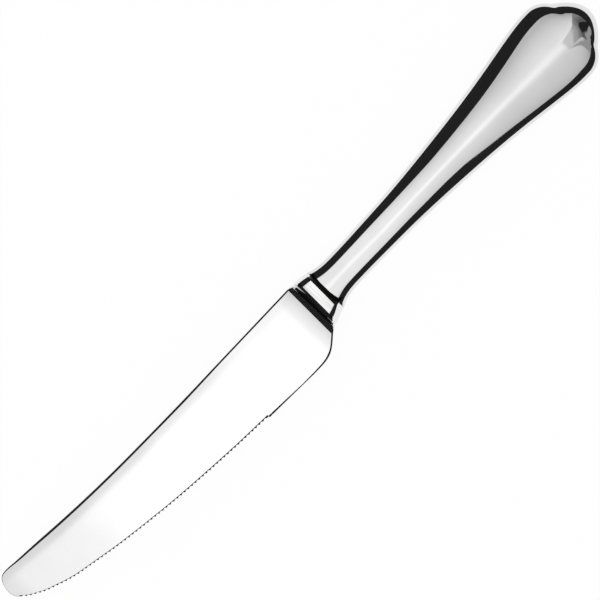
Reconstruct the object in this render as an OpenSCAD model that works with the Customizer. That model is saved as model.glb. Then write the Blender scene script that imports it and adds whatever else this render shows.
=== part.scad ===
// Table knife with a hollow handle, lying on its broad side
// X runs from the tip to the butt, Y from the edge to the spine, Z up from the table, in millimetres

/* [Blade] */
// Length of the blade, from its tip to the foot of the bolster
blade_len = 120; // [100:1:140]
// Distance from the handle's axis to the spine
spine_h = 8; // [7.4:0.1:8.6]
// Distance from the handle's axis to the deepest point of the belly
belly_drop = 14.7; // [13.5:0.1:16.5]
// How far the spine rises towards the tip
tip_lift = 3.5; // [1:0.1:5]
// Thickness of the spine at the bolster
spine_t = 2.4; // [2:0.1:3]
// How much thinner the spine is at the tip
spine_taper = 1.4; // [0.8:0.1:1.6]
// Thickness of the belly at the heel
edge_t = 0.9; // [0.8:0.1:1.2]

/* [Teeth] */
// Distance between two teeth
tooth_pitch = 1.4; // [1.2:0.1:2.4]
// Depth of the hollow between two teeth
tooth_depth = 0.35; // [0.2:0.05:0.5]
// Flat left on each tooth
tooth_land = 0.25; // [0.1:0.05:0.4]
// Depth of the step where the ground edge starts
grind_step = 0.4; // [0.2:0.05:0.6]

/* [Bolster] */
// Length of the slope that rises from the blade to the bolster's rim
slope_len = 1.5; // [1.2:0.1:2]
// Half thickness of the bolster at its rim
rim_h = 3.1; // [2.8:0.1:3.6]
// Depth of the bolster below the handle's axis at the foot of the slope
foot_drop = 10.5; // [10:0.1:11]
// Depth of the bolster below the handle's axis at its rim
rim_drop = 9.7; // [9:0.1:10]
// Length of the bevel on each side of the groove behind the bolster
groove_bevel = 0.5; // [0.3:0.1:0.8]
// Depth of that groove
groove_depth = 0.3; // [0.2:0.05:0.45]

/* [Tang] */
// Width of the tang at the bolster
tang_w = 7; // [6:0.5:8]
// Width of the tang at its end
tang_end_w = 4.5; // [3.5:0.5:5.5]
// Thickness of the tang
tang_t = 2.8; // [2:0.2:3]
// Length of the tang behind the bolster
tang_len = 62; // [45:1:75]
// Radius of the keying notches in the tang
notch_r = 0.9; // [0.6:0.1:1.2]
// Distance between two keying notches
notch_pitch = 10; // [6:1:12]

/* [Ferrule] */
// Length of the flat pad on each broad side
pad_len = 3; // [2.6:0.1:4]
// Length of the bevel in front of the pad
front_bevel = 1.3; // [1.1:0.1:1.6]
// Length of the bevel behind the pad
rear_bevel = 1.05; // [0.8:0.05:1.4]
// Half thickness at the foot of the front bevel
front_h = 3.2; // [2.8:0.1:3.6]
// Depth of the ferrule below the handle's axis at its front
front_drop = 9.4; // [9:0.1:10]
// Half thickness of the shoulder at the foot of the rear bevel
shoulder_h = 3.6; // [3.4:0.1:3.8]
// Distance from the handle's axis to the shoulder's edge on the spine side
shoulder_rise = 7.2; // [7:0.1:7.4]
// Distance from the handle's axis to the shoulder's edge on the other side
shoulder_drop = 7.6; // [7.4:0.1:7.8]
// Half thickness that the oval of the bolster and ferrule would have without its flats
oval_h = 6; // [5.7:0.1:6.6]
// Lean of the pads out of square with the handle, in degrees
pad_lean = 1.7; // [0:0.1:3]
// Depth to which the spigot enters the handle
spigot_len = 3; // [2:0.5:5]

/* [Handle] */
// Length from the foot of the bolster to the butt
handle_len = 120; // [105:1:135]
// Half thickness of the knife at the pads and at the handle's crown
crown_h = 5.2; // [4.9:0.1:5.5]
// Half width of the neck
neck_w = 6; // [5.7:0.1:6.4]
// Half thickness of the neck
neck_h = 3.85; // [3.75:0.05:4.1]
// Length over which the mouth flares from the neck
flare_len = 9; // [6:0.5:14]
// How much thinner the lip of the mouth is than the neck
lip_drop = 0.35; // [0.1:0.05:0.5]
// Half width at the widest place
swell_w = 13.3; // [12:0.1:14.5]
// Distance from the butt to the widest place
swell_back = 14.5; // [13.5:0.5:18]
// Radius of each shoulder beside the butt's lobe
shoulder_r = 7.8; // [7:0.1:8.4]
// Length of the lobe at the butt
lobe_len = 6.5; // [5.5:0.5:7]
// Half width of the lobe at its notches
lobe_w = 9.4; // [8.6:0.1:9.8]
// Length over which the crown rounds down to the butt
nose_len = 5.5; // [5:0.5:8]
// Thickness of the sheet that the shells are pressed from
wall = 0.9; // [0.7:0.05:1]
// Thickness of the handle at its nose, where the two shells close
nose_wall = 1.5; // [1.2:0.1:2]

/* [Joints] */
// Thickness of the braze in each joint
braze_t = 0.15; // [0.1:0.05:0.2]
// Clearance round the tang in the ferrule
tang_clear = 0.1; // [0.05:0.05:0.2]
// Clearance round the spigot in the handle's mouth
spigot_clear = 0.1; // [0.05:0.05:0.15]
// Shrinkage gap between the cement and the shells
cement_gap = 0.15; // [0.1:0.05:0.25]

/* [Hidden] */

// Overrun of every cut
cut = 1;
// Angle of one facet round the handle, in degrees
facet_angle = 11.25;
half_ring = round(180 / facet_angle);
// Steps along the handle's parts and between two points of the blade's outline
flare_steps = 5;
body_steps = 26;
shoulder_steps = 10;
lobe_steps = 9;
cement_steps = 30;
outline_steps = 6;
// Roundness of the oval round the bolster and ferrule, where 2 is an ellipse
oval_power = 2.5;
// Bow of the ferrule's spine side, where 1 is straight
bow_power = 1.6;
// Number of keying notches on each edge of the tang
notch_count = 3;

// Places along the knife, counted from the foot of the bolster
rim_x = slope_len;
flange_x = rim_x + groove_bevel;
ferrule_x = flange_x + braze_t;
pad_x = ferrule_x + front_bevel;
pad_end_x = pad_x + pad_len;
shoulder_x = pad_end_x + rear_bevel;
mouth_x = shoulder_x + braze_t;
lip_x = mouth_x + wall / 2;
flare_x = mouth_x + flare_len;
spigot_x = mouth_x + spigot_len;
tang_x = flange_x + tang_len;
swell_x = handle_len - swell_back;
lobe_x = handle_len - lobe_len;
nose_x = handle_len - nose_len;
cavity_x = handle_len - nose_wall;

// Centre of each shoulder's arc, which runs from the widest place into the notch beside the lobe
shoulder_y = swell_w - shoulder_r;
arc_x = lobe_x - sqrt(shoulder_r ^ 2 - (lobe_w - shoulder_y) ^ 2);

// The blade's outline as shares of its length and of its rise or drop
spine_shares = [[0, 0], [0.12, 0], [0.24, 0], [0.37, 0.005], [0.5, 0.06], [0.58, 0.12],
    [0.66, 0.225], [0.74, 0.385], [0.82, 0.6], [0.89, 0.81], [0.945, 0.955], [0.971, 1]];
belly_shares = [[0.9375, 0.105], [0.915, 0.179], [0.875, 0.298], [0.817, 0.409], [0.739, 0.535],
    [0.66, 0.637], [0.57, 0.737], [0.467, 0.823], [0.36, 0.895], [0.255, 0.945]];
heel_shares = [[0.255, 0.945], [0.19, 0.968], [0.13, 0.99], [0.08, 1], [0.058, 0.988],
    [0.039, 0.944], [0.02, 0.848]];
// The round of the tip as shares of the length and of the way up from the belly to the spine
tip_shares = [[0.983, 0.972], [0.9933, 0.86], [0.9988, 0.712], [1, 0.56], [0.9975, 0.448],
    [0.9895, 0.345], [0.973, 0.2], [0.955, 0.095]];
// Place in that list where the teeth start
first_toothed = 5;

// Growth of the handle's width and thickness, and its roundness, against the share of the way to
// its widest place
width_shares = [[0, 0], [0.1, 0], [0.19, 0], [0.28, 0.028], [0.38, 0.075], [0.47, 0.152],
    [0.57, 0.268], [0.66, 0.39], [0.76, 0.56], [0.85, 0.75], [0.93, 0.92], [1, 1], [1.07, 0.92]];
height_shares = [[0, 0], [0.15, 0], [0.35, 0.04], [0.55, 0.24], [0.7, 0.5], [0.84, 0.82],
    [0.94, 0.98], [1, 1], [1.06, 0.98]];
power_shares = [[0, 2.5], [0.07, 2.5], [0.2, 2.1], [0.5, 1.95], [0.8, 2], [1, 2.1], [1.2, 2.1]];

// Point at the share s of the step from b to c, on the smooth curve a, b, c, d
function hermite(b, c, m, n, s) =
    (2 * s ^ 3 - 3 * s ^ 2 + 1) * b + (s ^ 3 - 2 * s ^ 2 + s) * m
    + (3 * s ^ 2 - 2 * s ^ 3) * c + (s ^ 3 - s ^ 2) * n;

// Height at x of the smooth curve through the table t
function step_of(t, x, i = 0) = i < len(t) - 2 && x > t[i + 1][0] ? step_of(t, x, i + 1) : i;
function grade(t, i) =
    let(a = t[max(i - 1, 0)], b = t[min(i + 1, len(t) - 1)]) (b[1] - a[1]) / (b[0] - a[0]);
function height_at(t, x) =
    let(i = step_of(t, x), w = t[i + 1][0] - t[i][0])
    hermite(t[i][1], t[i + 1][1], w * grade(t, i), w * grade(t, i + 1), (x - t[i][0]) / w);

// Points of the smooth curve through the corners p
function heading(p, i) =
    i == 0 ? (p[1] - p[0]) / norm(p[1] - p[0]) :
    i == len(p) - 1 ? (p[i] - p[i - 1]) / norm(p[i] - p[i - 1]) :
    let(a = norm(p[i] - p[i - 1]), b = norm(p[i + 1] - p[i]))
    ((p[i] - p[i - 1]) * b / a + (p[i + 1] - p[i]) * a / b) / (a + b);
function smooth(p) = [
    for (i = [0:len(p) - 2]) let(w = norm(p[i + 1] - p[i]))
        for (k = [0:outline_steps - 1])
            hermite(p[i], p[i + 1], w * heading(p, i), w * heading(p, i + 1), k / outline_steps),
    p[len(p) - 1]];

// Outline of the blade, from the bolster along the spine, round the tip and back along the edge
spine_line = [for (s = spine_shares) [-s[0] * blade_len, spine_h + s[1] * tip_lift]];
belly_line = [for (s = belly_shares) [-s[0] * blade_len, grind_step - s[1] * belly_drop]];
tip_foot = belly_line[0][1];
tip_head = spine_h + tip_lift;
tip_line = [for (s = tip_shares) [-s[0] * blade_len, tip_foot + s[1] * (tip_head - tip_foot)]];
heel_line = concat([for (s = heel_shares) [-s[0] * blade_len, -s[1] * belly_drop]], [[0, -foot_drop]]);
ground_outline = smooth(concat(spine_line, tip_line, belly_line));
heel_outline = smooth(heel_line);

// The toothed edge from the heel towards the tip, and the distance along it to each of its points
last_ground = len(ground_outline) - 1;
first_ground = (len(spine_line) + first_toothed) * outline_steps;
toothed_edge = [for (i = [last_ground:-1:first_ground]) ground_outline[i]];
edge_run = [for (i = 0, s = 0; i < len(toothed_edge);
    i = i + 1, s = s + norm(toothed_edge[min(i, len(toothed_edge) - 1)] - toothed_edge[i - 1])) s];
edge_x = [for (i = [0:len(edge_run) - 1]) [edge_run[i], toothed_edge[i][0]]];
edge_y = [for (i = [0:len(edge_run) - 1]) [edge_run[i], toothed_edge[i][1]]];
function edge_at(s) = [lookup(s, edge_x), lookup(s, edge_y)];
tooth_count = floor((edge_run[len(edge_run) - 1] - tooth_pitch) / tooth_pitch);
hollow_w = tooth_pitch - tooth_land;
hollow_r = (hollow_w ^ 2 / 4 + tooth_depth ^ 2) / (2 * tooth_depth);

// Outline of the ferrule, as distances from the axis on each side
function ferrule_share(x) = (x - ferrule_x) / (shoulder_x - ferrule_x);
function ferrule_rise(x) = spine_h - (spine_h - shoulder_rise) * ferrule_share(x) ^ bow_power;
function ferrule_drop(x) = front_drop - (front_drop - shoulder_drop) * ferrule_share(x);

// Outline and section of the handle
function flare(x) = max((flare_x - x) / flare_len, 0) ^ 3;
function body_w(x) = neck_w + (swell_w - neck_w) * height_at(width_shares, min(x / swell_x, 1));
function handle_w(x) =
    x > lobe_x ? lobe_w * sqrt((handle_len - x) / lobe_len) :
    x > arc_x ? shoulder_y + sqrt(shoulder_r ^ 2 - (x - arc_x) ^ 2) : body_w(x);
function handle_rise(x) = handle_w(x) + (shoulder_rise - neck_w) * flare(x);
function handle_drop(x) = handle_w(x) + (shoulder_drop - neck_w) * flare(x);
function body_h(x) = neck_h + (crown_h - neck_h) * height_at(height_shares, min(x / swell_x, 1));
function handle_h(x) = x > nose_x ? crown_h * sqrt(1 - ((x - nose_x) / nose_len) ^ 2) : body_h(x);
function lip_h(x) = handle_h(x) - lip_drop * max((lip_x - x) / (lip_x - mouth_x), 0);
function handle_power(x) = height_at(power_shares, x / swell_x);

// Stations along the handle and along its cavity
outer_stations = concat([mouth_x],
    [for (k = [0:flare_steps]) lip_x + (flare_x - lip_x) * k / flare_steps],
    [for (k = [1:body_steps]) flare_x + (swell_x - flare_x) * k / body_steps],
    [for (k = [1:shoulder_steps]) swell_x + (lobe_x - swell_x) * k / shoulder_steps],
    [for (k = [1:lobe_steps - 1]) handle_len - lobe_len * (1 - k / lobe_steps) ^ 2]);
last_station = outer_stations[len(outer_stations) - 1];
cavity_stations = [for (x = outer_stations)
    mouth_x + (x - mouth_x) * (cavity_x - mouth_x) / (last_station - mouth_x)];

// One point of an oval ring at the angle a, raised by lift
function signed_power(v, p) = sign(v) * abs(v) ^ p;
function oval_point(x, rise, drop, h, power, a, lift = 0) =
    [x, (cos(a) > 0 ? rise : drop) * signed_power(cos(a), 2 / power),
        lift + (h - lift) * signed_power(sin(a), 2 / power)];
function oval_ring(x, rise, drop, h, power) =
    [for (j = [0:2 * half_ring - 1]) oval_point(x, rise, drop, h, power, 180 * j / half_ring)];
function half_oval(x, rise, drop, h, power) =
    [for (j = [0:half_ring]) oval_point(x, rise, drop, h, power, 180 * j / half_ring, braze_t / 2)];
function outer_half(x) = half_oval(x, handle_rise(x), handle_drop(x), lip_h(x), handle_power(x));
function inner_half(x) =
    half_oval(x, handle_rise(x) - wall, handle_drop(x) - wall, handle_h(x) - wall, handle_power(x));
function inner_ring(x, gap) = oval_ring(x, handle_rise(x) - wall - gap, handle_drop(x) - wall - gap,
    handle_h(x) - wall - gap, handle_power(x));

// The sheet between two rows of points, closed from end to start where wrap is true
function sheet(first, rows, width, wrap = false) = [
    for (i = [0:rows - 2]) for (j = [0:width - (wrap ? 1 : 2)])
        let(a = first + i * width + j, b = first + i * width + (j + 1) % width)
        each [[a, a + width, b], [b, a + width, b + width]]];
// The strip between the edges a to b and c to d, seen from outside with c and d on the inner side
function two_triangles(a, b, c, d) = [[a, b, c], [b, d, c]];
function row(first, width) = [for (j = [0:width - 1]) first + j];
function reversed(p) = [for (i = [len(p) - 1:-1:0]) p[i]];

// A solid that runs through a list of closed rings
module loft(rings) {
    width = len(rings[0]);
    last = (len(rings) - 1) * width;
    polyhedron([for (r = rings) each r],
        concat(sheet(0, len(rings), width, true), [row(0, width)], [reversed(row(last, width))]));
}

// A prism along the knife, between two places, with the outline of a ring
module ring_prism(ring, from_x, to_x) {
    translate([from_x, 0, 0]) rotate([90, 0, 90])
        linear_extrude(to_x - from_x) polygon([for (p = ring) [p[1], p[2]]]);
}

// A prism across the knife, with an outline in X and Z
module cross_prism(outline) {
    rotate([90, 0, 0]) linear_extrude(2 * (belly_drop + cut), center = true) polygon(outline);
}

// Bench position of the knife above its own origin, at the middle of its box on the table
module on_table() {
    translate([(blade_len - handle_len) / 2, (belly_drop - swell_w) / 2, crown_h]) children();
}

// The space above the blade's face, which tapers to the edge and to the tip
module above_face() {
    low_y = -belly_drop - cut;
    high_y = spine_h + tip_lift + cut;
    low_x = -blade_len - cut;
    fall = (spine_t - edge_t) / 2 / (spine_h + belly_drop);
    taper = spine_taper / 2 / blade_len;
    corners = [[low_x, low_y], [slope_len, low_y], [slope_len, high_y], [low_x, high_y]];
    floor_points = [for (c = corners) [c[0], c[1], spine_t / 2 + taper * c[0] - fall * (spine_h - c[1])]];
    roof_points = [for (c = corners) [c[0], c[1], spine_t]];
    polyhedron(concat(floor_points, roof_points), [[0, 1, 2, 3], [7, 6, 5, 4],
        [0, 4, 5, 1], [1, 5, 6, 2], [2, 6, 7, 3], [3, 7, 4, 0]]);
}

module tooth_hollows() {
    for (k = [1:tooth_count]) {
        s = k * tooth_pitch;
        along = edge_at(s + tooth_pitch / 4) - edge_at(s - tooth_pitch / 4);
        out = [-along[1], along[0]] / norm(along);
        centre = edge_at(s) - out * (tooth_depth - hollow_r);
        translate([centre[0], centre[1], 0]) cylinder(r = hollow_r, h = 2 * spine_t, center = true, $fn = 32);
    }
}

module blade_plate() {
    root = [[slope_len / 2, -foot_drop + slope_len / 2], [slope_len / 2, spine_h - groove_depth]];
    difference() {
        linear_extrude(spine_t, center = true)
            polygon(concat(ground_outline, heel_outline, root));
        above_face();
        mirror([0, 0, 1]) above_face();
        tooth_hollows();
    }
}

module bolster() {
    steepness = (rim_h - spine_t / 2) / slope_len;
    foot_x = -spine_t / 2 / steepness;
    foot_low = foot_drop - foot_x * (foot_drop - rim_drop) / slope_len;
    intersection() {
        cross_prism([[foot_x, 0], [rim_x, rim_h], [flange_x, rim_h - groove_depth],
            [flange_x, groove_depth - rim_h], [rim_x, -rim_h]]);
        loft([oval_ring(foot_x, spine_h, foot_low, oval_h, oval_power),
            oval_ring(0, spine_h, foot_drop, oval_h, oval_power),
            oval_ring(rim_x, spine_h, rim_drop, oval_h, oval_power),
            oval_ring(flange_x, spine_h - groove_depth, front_drop - groove_depth, oval_h, oval_power)]);
    }
}

module tang_bar() {
    step = (tang_w - tang_end_w) / 2 / tang_len;
    difference() {
        linear_extrude(tang_t, center = true)
            polygon([[rim_x, -tang_w / 2], [tang_x, -tang_end_w / 2], [tang_x, tang_end_w / 2],
                [rim_x, tang_w / 2]]);
        for (k = [1:notch_count]) for (side = [-1, 1])
            translate([tang_x - k * notch_pitch, side * (tang_end_w / 2 + step * k * notch_pitch + notch_r / 2), 0])
                cylinder(r = notch_r, h = 2 * tang_t, center = true, $fn = 24);
    }
}

module tang_slot(to_x) {
    w = tang_w / 2 + tang_clear;
    translate([rim_x, -w, -tang_t / 2 - tang_clear]) cube([to_x - rim_x, 2 * w, tang_t + 2 * tang_clear]);
}

module blade() {
    color("gainsboro") on_table() {
        blade_plate();
        bolster();
        tang_bar();
    }
}

module bolster_braze() {
    inset = 2 * groove_depth;
    h = rim_h - inset;
    ring = oval_ring(flange_x, spine_h - inset, front_drop - inset, oval_h, oval_power);
    color("khaki") on_table() difference() {
        intersection() {
            ring_prism(ring, flange_x, ferrule_x);
            cross_prism([[flange_x, h], [ferrule_x, h], [ferrule_x, -h], [flange_x, -h]]);
        }
        tang_slot(spigot_x);
    }
}

module ferrule() {
    start_x = ferrule_x - cut;
    start_h = front_h - cut * (crown_h - front_h) / front_bevel;
    end_x = shoulder_x + cut;
    end_h = shoulder_h - cut * (crown_h - shoulder_h) / rear_bevel;
    middle_x = (pad_x + pad_end_x) / 2;
    rim = ferrule_x + groove_bevel;
    spigot = oval_ring(0, handle_rise(spigot_x) - wall - spigot_clear,
        handle_drop(spigot_x) - wall - spigot_clear, neck_h - wall - spigot_clear, handle_power(spigot_x));
    color("silver") on_table() difference() {
        union() {
            intersection() {
                translate([middle_x, 0, 0]) rotate([0, 0, -pad_lean]) translate([-middle_x, 0, 0])
                    cross_prism([[start_x, -start_h], [pad_x, -crown_h], [pad_end_x, -crown_h], [end_x, -end_h],
                        [end_x, end_h], [pad_end_x, crown_h], [pad_x, crown_h], [start_x, start_h]]);
                loft(concat(
                    [oval_ring(ferrule_x, spine_h - groove_depth, front_drop - groove_depth, oval_h, oval_power)],
                    [for (k = [0:flare_steps]) let(x = rim + (shoulder_x - rim) * k / flare_steps)
                        oval_ring(x, ferrule_rise(x), ferrule_drop(x), oval_h, oval_power)]));
            }
            ring_prism(spigot, pad_x, spigot_x);
        }
        tang_slot(spigot_x + cut);
    }
}

// One pressed half of the handle, closed at the nose and open at the mouth and along the seam
module handle_half() {
    width = half_ring + 1;
    rows = len(outer_stations);
    nose = rows * width;
    inner = nose + 1;
    last_outer = (rows - 1) * width;
    last_inner = inner + last_outer;
    outside = [for (x = outer_stations) each outer_half(x)];
    inside = [for (x = cavity_stations) each inner_half(x)];
    mouth_face = [for (j = [0:half_ring - 1]) each two_triangles(j, j + 1, inner + j, inner + j + 1)];
    seam_faces = [for (i = [0:rows - 2]) let(a = i * width, b = a + width) each concat(
        two_triangles(b, a, inner + b, inner + a),
        two_triangles(a + half_ring, b + half_ring, inner + a + half_ring, inner + b + half_ring))];
    nose_faces = [for (j = [0:half_ring - 1]) [last_outer + j, nose, last_outer + j + 1]];
    nose_seam = [last_outer + half_ring, nose, last_outer, last_inner, last_inner + half_ring];
    polyhedron(concat(outside, [[handle_len, 0, braze_t / 2]], inside),
        concat(sheet(0, rows, width), [for (f = sheet(inner, rows, width)) reversed(f)],
            mouth_face, seam_faces, nose_faces, [nose_seam, row(last_inner, width)]));
}

module upper_handle_shell() {
    color("gainsboro") on_table() handle_half();
}

module lower_handle_shell() {
    color("gainsboro") on_table() mirror([0, 0, 1]) handle_half();
}

module seam_braze() {
    outside = concat([for (x = outer_stations) [x, handle_rise(x)]], [[handle_len, 0]],
        reversed([for (x = outer_stations) [x, -handle_drop(x)]]));
    inside = concat([for (x = cavity_stations) [x, wall - handle_drop(x)]],
        reversed([for (x = cavity_stations) [x, handle_rise(x) - wall]]));
    color("khaki") on_table()
        linear_extrude(braze_t, center = true) polygon(concat(outside, inside));
}

module mouth_braze() {
    lip = oval_ring(0, handle_rise(mouth_x), handle_drop(mouth_x), lip_h(mouth_x), handle_power(mouth_x));
    bore = inner_ring(mouth_x, 0);
    color("khaki") on_table() difference() {
        ring_prism(lip, shoulder_x, mouth_x);
        ring_prism(bore, shoulder_x - cut, mouth_x + cut);
    }
}

module tang_cement() {
    end_x = cavity_x - cement_gap;
    color("tan") on_table() difference() {
        loft([for (k = [0:cement_steps]) inner_ring(spigot_x + (end_x - spigot_x) * k / cement_steps, cement_gap)]);
        tang_bar();
    }
}

blade();
ferrule();
upper_handle_shell();
lower_handle_shell();
seam_braze();
bolster_braze();
mouth_braze();
tang_cement();
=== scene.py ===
from math import cos, pi, radians, sin, sqrt, tan

import bmesh
import bpy
import numpy as np
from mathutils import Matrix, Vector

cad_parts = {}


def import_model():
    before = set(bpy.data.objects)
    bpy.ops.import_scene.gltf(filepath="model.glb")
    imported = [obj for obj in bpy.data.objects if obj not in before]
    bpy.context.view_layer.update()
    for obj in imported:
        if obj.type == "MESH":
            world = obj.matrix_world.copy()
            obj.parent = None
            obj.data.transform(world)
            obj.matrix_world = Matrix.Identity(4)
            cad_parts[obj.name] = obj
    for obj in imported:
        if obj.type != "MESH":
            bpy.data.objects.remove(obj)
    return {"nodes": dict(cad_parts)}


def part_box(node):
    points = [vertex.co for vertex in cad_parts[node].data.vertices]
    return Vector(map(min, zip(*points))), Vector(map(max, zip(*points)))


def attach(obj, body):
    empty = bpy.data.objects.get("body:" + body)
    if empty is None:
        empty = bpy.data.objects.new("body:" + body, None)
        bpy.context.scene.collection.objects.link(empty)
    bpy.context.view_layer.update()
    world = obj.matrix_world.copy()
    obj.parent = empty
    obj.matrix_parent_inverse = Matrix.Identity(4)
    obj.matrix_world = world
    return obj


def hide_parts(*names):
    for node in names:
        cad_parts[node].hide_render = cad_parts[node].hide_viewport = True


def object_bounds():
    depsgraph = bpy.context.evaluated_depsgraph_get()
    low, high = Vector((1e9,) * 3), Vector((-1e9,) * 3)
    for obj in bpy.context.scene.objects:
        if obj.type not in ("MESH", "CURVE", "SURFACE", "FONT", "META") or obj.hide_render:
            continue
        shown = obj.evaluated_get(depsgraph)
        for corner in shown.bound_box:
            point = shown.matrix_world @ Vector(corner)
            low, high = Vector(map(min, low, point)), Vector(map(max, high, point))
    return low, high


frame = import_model()
cad_low, cad_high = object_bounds()

# Lengths are in millimetres up to the meshes, which are in metres
MM = 0.001
CREASE = radians(24)
# Points closer than these, in metres, become one
MERGED = 0.5e-6
DISSOLVED = 0.2e-6
# A face with more corners than this is one of the blade's flat faces
MOST_CORNERS = 8
FINE_POINTS = 2000
# A rounded corner is a mean over this many reaches to each side, at so many places
SOFT_SPAN = 2.5
SOFT_PLACES = 21


def box_mm(node):
    low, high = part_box(node)
    return np.array(low) / MM, np.array(high) / MM


# Places that the frame gives, with X from the foot of the bolster and heights from the mid-plane
shell_low, shell_high = box_mm("upper_handle_shell")
ferrule_low, ferrule_high = box_mm("ferrule")
braze_low, braze_high = box_mm("seam_braze")
AXIS_Y = (shell_low[1] + shell_high[1]) / 2
CROWN_H = cad_high.z / MM / 2
MID_Z = CROWN_H
SWELL_W = (shell_high[1] - shell_low[1]) / 2
MOUTH_X = shell_low[0]
BUTT_X = shell_high[0]
TIP_X = cad_low.x / MM
FERRULE_X = ferrule_low[0]
SPIGOT_X = ferrule_high[0]
SHOULDER_X = box_mm("mouth_braze")[0][0]
FLANGE_X = box_mm("bolster_braze")[0][0]
TANG_X = box_mm("blade")[1][0]
SEAM_H = (braze_high[2] - braze_low[2]) / 2

# Blade
SPINE_H = 8.0
BELLY_DROP = 14.7
TIP_LIFT = 3.5
SPINE_T = 2.4
SPINE_TAPER = 1.4
EDGE_T = 0.9
FOOT_DROP = 10.5
GRIND_STEP = 0.4
ROOT_X = 0.75
OUTLINE_STEP = 0.1
# How fast the half thickness falls from the spine to the edge
FACE_FALL = (SPINE_T - EDGE_T) / 2 / (SPINE_H + BELLY_DROP)

# Teeth
TOOTH_PITCH = 1.4
TOOTH_DEPTH = 0.35
TOOTH_LAND = 0.25
FACET_W = 0.56
FACET_SHARE = 0.85
FACET_TAPER = 0.35
STRIP_W = 1.2
POINTS_PER_TOOTH = 20
POINTS_ACROSS = 12

# Bevel and round along the rest of the blade's rim
BEVEL_W = 0.42
BEVEL_TILT = radians(28)
RIM_R = 0.35
RIM_RINGS = 6
# The most of the rim's half thickness that its round takes
ROUND_SHARE = 0.9
# How wide the bevel is, as shares of its full width against X
SPINE_BEVEL = [(-119.5, 0.15), (-117, 0.5), (-111, 1), (-100, 1.4), (-86, 1.3), (-58, 1.15), (-44, 1.22),
               (-30, 0.95), (-3, 0.9), (1, 0.8)]
HEEL_BEVEL = [(-31, 1.45), (-27, 1.2), (-22, 0.85), (-17, 0.55), (-14, 0.75), (-8.5, 1.02), (-5.5, 1.3),
              (-2.5, 0.95), (1, 0.95)]

# Bolster and tang
SLOPE_LEN = 1.5
RIM_H = 3.1
RIM_DROP = 9.7
GROOVE_BEVEL = 0.5
GROOVE_DEPTH = 0.3
TANG_W = 7.0
TANG_END_W = 4.5
TANG_T = 2.8
NOTCH_R = 0.9
NOTCH_PITCH = 10.0
NOTCHES = 3
BOX_POWER = 16.0
RING_POINTS = 360
BOLSTER_EDGE_R = 0.1
CORNER_SOFT = 0.05
BOLSTER_STATIONS = 70
NOTCH_STATIONS = 17
# How far past a notch's round its stations reach, as a share of its radius
NOTCH_REACH = 1.02
# Where the bolster's slope leaves the face of the blade
FOOT_X = -SPINE_T / 2 * SLOPE_LEN / (RIM_H - SPINE_T / 2)

# Ferrule
PAD_LEN = 3.0
FRONT_BEVEL = 1.3
FRONT_H = 3.2
FRONT_DROP = 9.4
SHOULDER_H = 3.6
SHOULDER_RISE = 7.2
SHOULDER_DROP = 7.6
OVAL_H = 6.0
OVAL_POWER = 2.5
# Height and power of the ferrule's oval on each side, against X from its front
SPINE_OVAL = [(0, 6, 2.5), (1.3, 5.66, 3.2), (4.7, 5.75, 3), (5.6, 3.9, 2.3)]
EDGE_OVAL = [(0, 6, 2.5), (1.3, 6.7, 2), (2.8, 6.75, 1.95), (4.7, 7, 1.75), (5.6, 3.9, 2.3)]
BOW_POWER = 1.6
PAD_EDGE_R = 0.12
PAD_LEAN = radians(1.7)
TANG_CLEAR = 0.1
SPIGOT_CLEAR = 0.1
FERRULE_STATIONS = 90

# Handle
NECK_W = 6.0
NECK_H = 3.85
FLARE_LEN = 9.0
LIP_DROP = 0.35
SWELL_X = 105.5
SHOULDER_R = 7.8
LOBE_LEN = 6.5
LOBE_W = 9.4
NOSE_LEN = 5.5
WALL = 0.9
NOSE_WALL = 1.5
# How far before the end of the cavity its sides draw in
CAVITY_EASE = 2.5
ARC_POINTS = 81
LIP_RUN = 1.2
LIP_STATIONS = 13
BODY_START = 1.25
BODY_STATIONS = 200
NOSE_STATIONS = 100

WIDTH_SHARES = [(0, 0), (0.1, 0), (0.19, 0), (0.28, 0.028), (0.38, 0.075), (0.47, 0.152), (0.57, 0.268),
                (0.66, 0.39), (0.76, 0.56), (0.85, 0.75), (0.93, 0.92), (1, 1), (1.07, 0.92)]
HEIGHT_SHARES = [(0, 0), (0.15, 0), (0.35, 0.04), (0.55, 0.24), (0.7, 0.5), (0.84, 0.82), (0.94, 0.98),
                 (1, 1), (1.06, 0.98)]
POWER_SHARES = [(0, 2.2), (0.15, 2.22), (0.28, 2.17), (0.42, 1.98), (0.6, 1.95), (0.8, 2), (1, 2.1),
                (1.2, 2.1)]
SPINE_SHARES = [(0, 0), (0.12, 0), (0.24, 0), (0.37, 0.005), (0.5, 0.06), (0.58, 0.12), (0.66, 0.225),
                (0.74, 0.385), (0.82, 0.6), (0.89, 0.81), (0.945, 0.955), (0.971, 1)]
TIP_SHARES = [(0.983, 0.972), (0.9933, 0.86), (0.9988, 0.712), (1, 0.56), (0.9975, 0.448), (0.9895, 0.345),
              (0.973, 0.2), (0.955, 0.095)]
FIRST_TOOTHED = 5
BELLY_SHARES = [(0.9375, 0.105), (0.915, 0.179), (0.875, 0.298), (0.817, 0.409), (0.739, 0.535),
                (0.66, 0.637), (0.57, 0.737), (0.467, 0.823), (0.36, 0.895), (0.255, 0.945)]
HEEL_SHARES = [(0.255, 0.945), (0.19, 0.968), (0.13, 0.99), (0.08, 1), (0.058, 0.988), (0.039, 0.944),
               (0.02, 0.848)]


# Curves

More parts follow.
